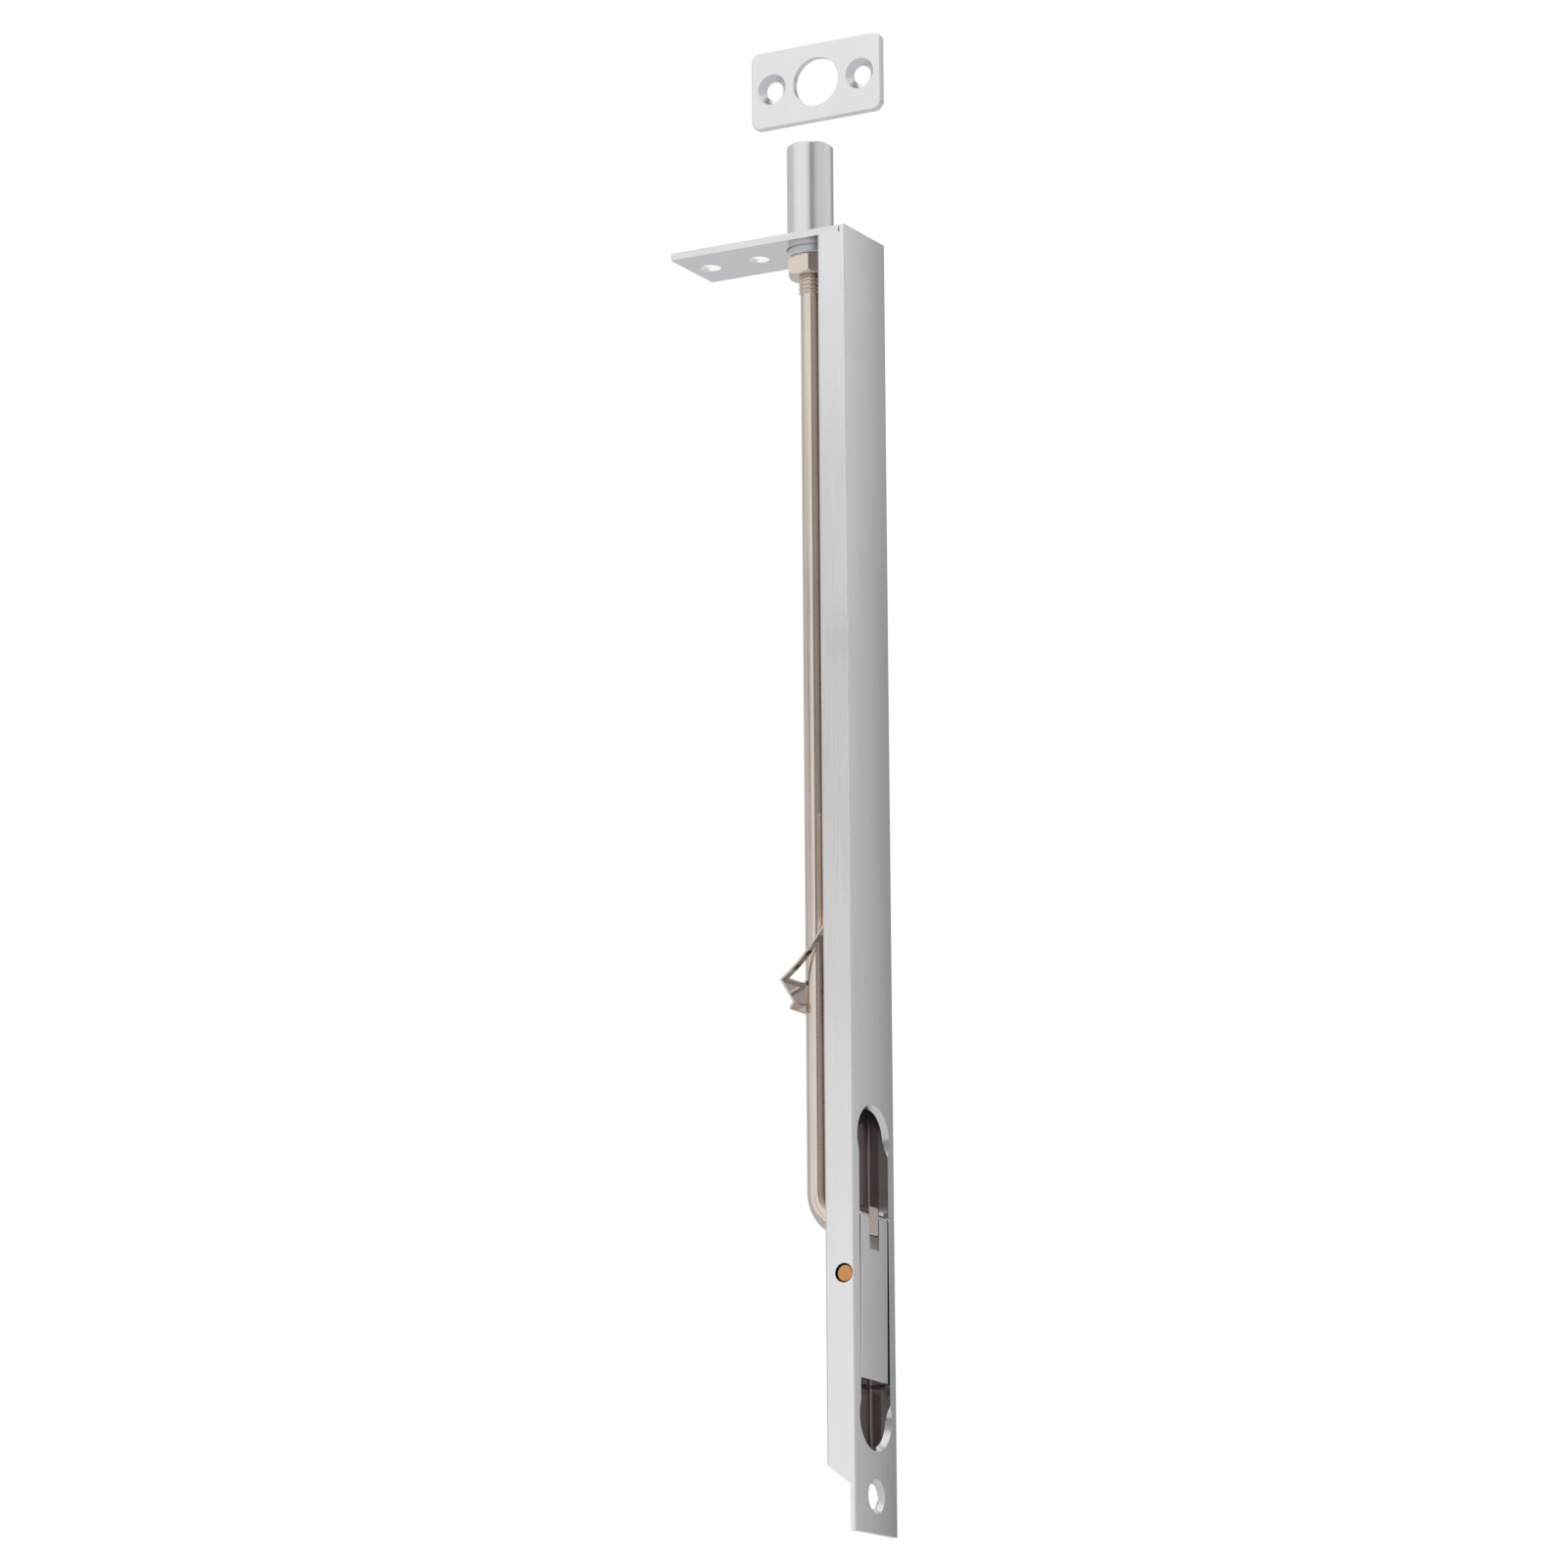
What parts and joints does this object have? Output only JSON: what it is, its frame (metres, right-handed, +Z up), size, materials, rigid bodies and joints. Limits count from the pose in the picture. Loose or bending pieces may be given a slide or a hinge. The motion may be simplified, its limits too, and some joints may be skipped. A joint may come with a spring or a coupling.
{
  "type": "lever flush bolt",
  "caption": "Slim lever flush bolt: channel with slotted face plate, flip lever, long bent rod, round bolt through a flat bracket, and a strike plate.",
  "frame": {"origin": "centre of the face plate's screw hole, on the back of the plate where it seats on the door", "axes": "+Z up along the bolt's travel, +Y into the door (away from the face plate), +X across the face plate"},
  "size_m": [0.02, 0.0519, 0.3545],
  "materials": {
    "satin_chrome": "satin chrome plate",
    "dark_steel": "thin dark plating inside the channel, plain outside",
    "lever_chrome": "satin chrome plate on a zinc casting",
    "bolt_chrome": "turned and satin plated",
    "nickel": "bright nickel plate, slightly warm",
    "brass": "plain turned brass",
    "pin_steel": "plain steel"
  },
  "bodies": {
    "housing": {"channel": "satin_chrome", "upper_back_strip": "dark_steel", "lower_back_strip": "dark_steel", "top_bracket": "satin_chrome", "pivot_pin": "brass", "friction_spring": "nickel", "strike_plate": "satin_chrome"},
    "lever": {"flip_lever": "lever_chrome", "link_pin": "pin_steel"},
    "bolt_set": {"bolt": "bolt_chrome", "lock_nut": "nickel", "push_rod": "nickel"}
  },
  "joints": [
    {"name": "lever_turn", "type": "hinge", "parent": "housing", "child": "lever", "pos_m": [0, 0.0012, 0.0496], "axis": [-1, 0, 0], "range_deg": [0, 180]},
    {"name": "bolt_slide", "type": "slide", "parent": "housing", "child": "bolt_set", "axis": [0, 0, -1], "range_m": [0, 0.024], "deforming": ["push_rod"]}
  ],
  "couplings": [
    {"joint": "lever_turn", "follows": "bolt_slide", "rad_per_m": 130.89}
  ]
}
